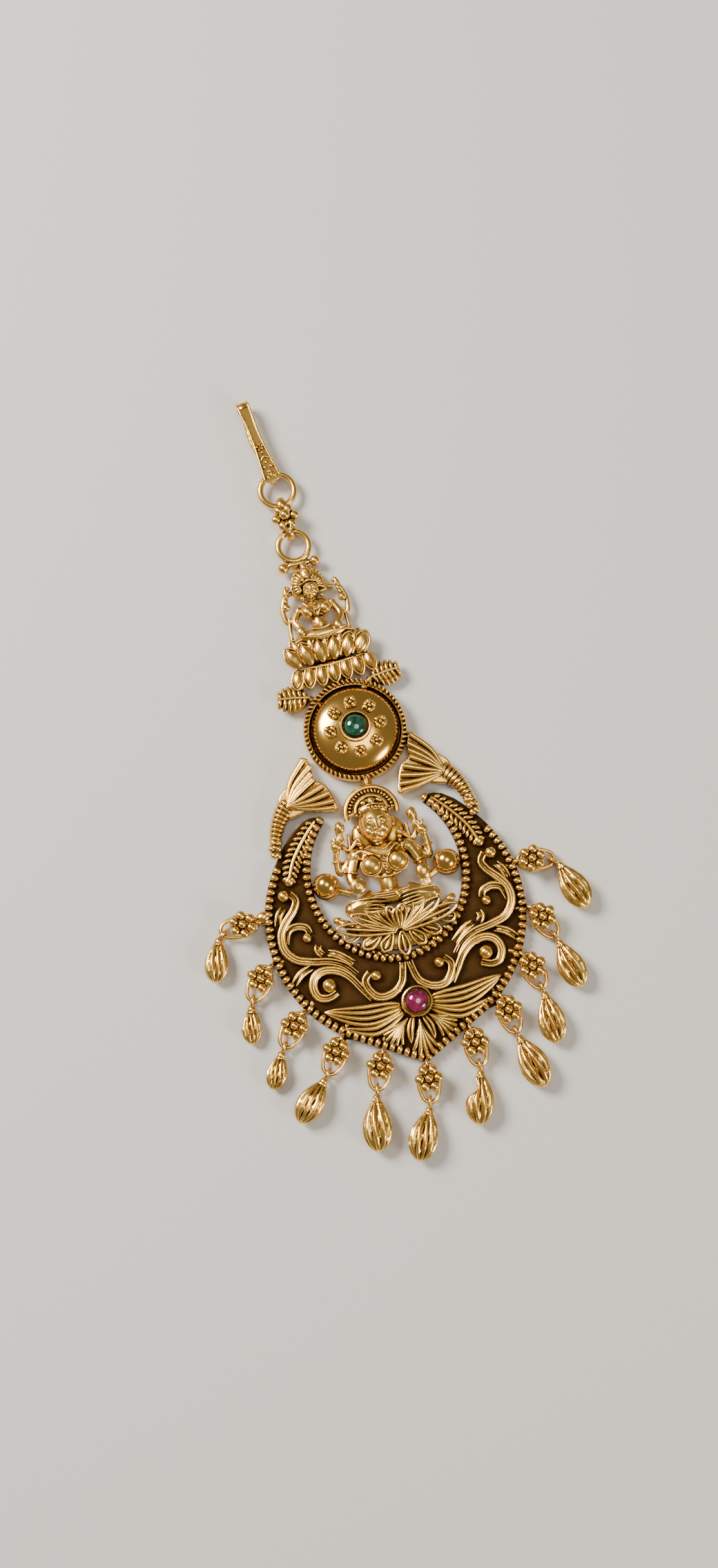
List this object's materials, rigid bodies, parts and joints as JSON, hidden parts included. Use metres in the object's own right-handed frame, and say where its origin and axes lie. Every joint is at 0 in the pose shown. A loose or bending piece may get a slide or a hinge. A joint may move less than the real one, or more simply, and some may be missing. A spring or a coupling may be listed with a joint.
{
  "type": "maang tikka",
  "caption": "Forehead jewel: hair hook, ring chain, seated figure on a lotus, domed stone-set disc and crescent pendant with a figure, scrolls, flowers and drops.",
  "frame": {"origin": "centre of the domed disc's flat back, on the surface that the jewel lies on", "axes": "+Y along the jewel from the crescent towards the hair hook, +Z out of its face, +X to the right as seen from the front"},
  "size_m": [0.0565, 0.115, 0.0055],
  "materials": {
    "antique_gold": "cast, antique gold plating, dark in the recesses and bright on the high points",
    "bright_gold": "gold-plated wire and cast flowers, lightly antiqued",
    "drop_gold": "gold-plated ribbed drops, dark in the grooves",
    "green_stone": "polished deep green cabochon",
    "red_stone": "polished pink-red cabochon"
  },
  "bodies": {
    "root": {"pendant_frame": "antique_gold", "green_stone": "green_stone", "red_stone": "red_stone", "flower_link": "bright_gold", "connector_ring": "bright_gold", "hair_hook": "bright_gold", "flower_01": "bright_gold", "drop_01": "drop_gold", "flower_02": "bright_gold", "drop_02": "drop_gold", "flower_03": "bright_gold", "drop_03": "drop_gold", "flower_04": "bright_gold", "drop_04": "drop_gold", "flower_05": "bright_gold", "drop_05": "drop_gold", "flower_06": "bright_gold", "drop_06": "drop_gold", "flower_07": "bright_gold", "drop_07": "drop_gold", "flower_08": "bright_gold", "drop_08": "drop_gold", "flower_09": "bright_gold", "drop_09": "drop_gold", "flower_10": "bright_gold", "drop_10": "drop_gold", "flower_11": "bright_gold", "drop_11": "drop_gold"}
  },
  "joints": []
}
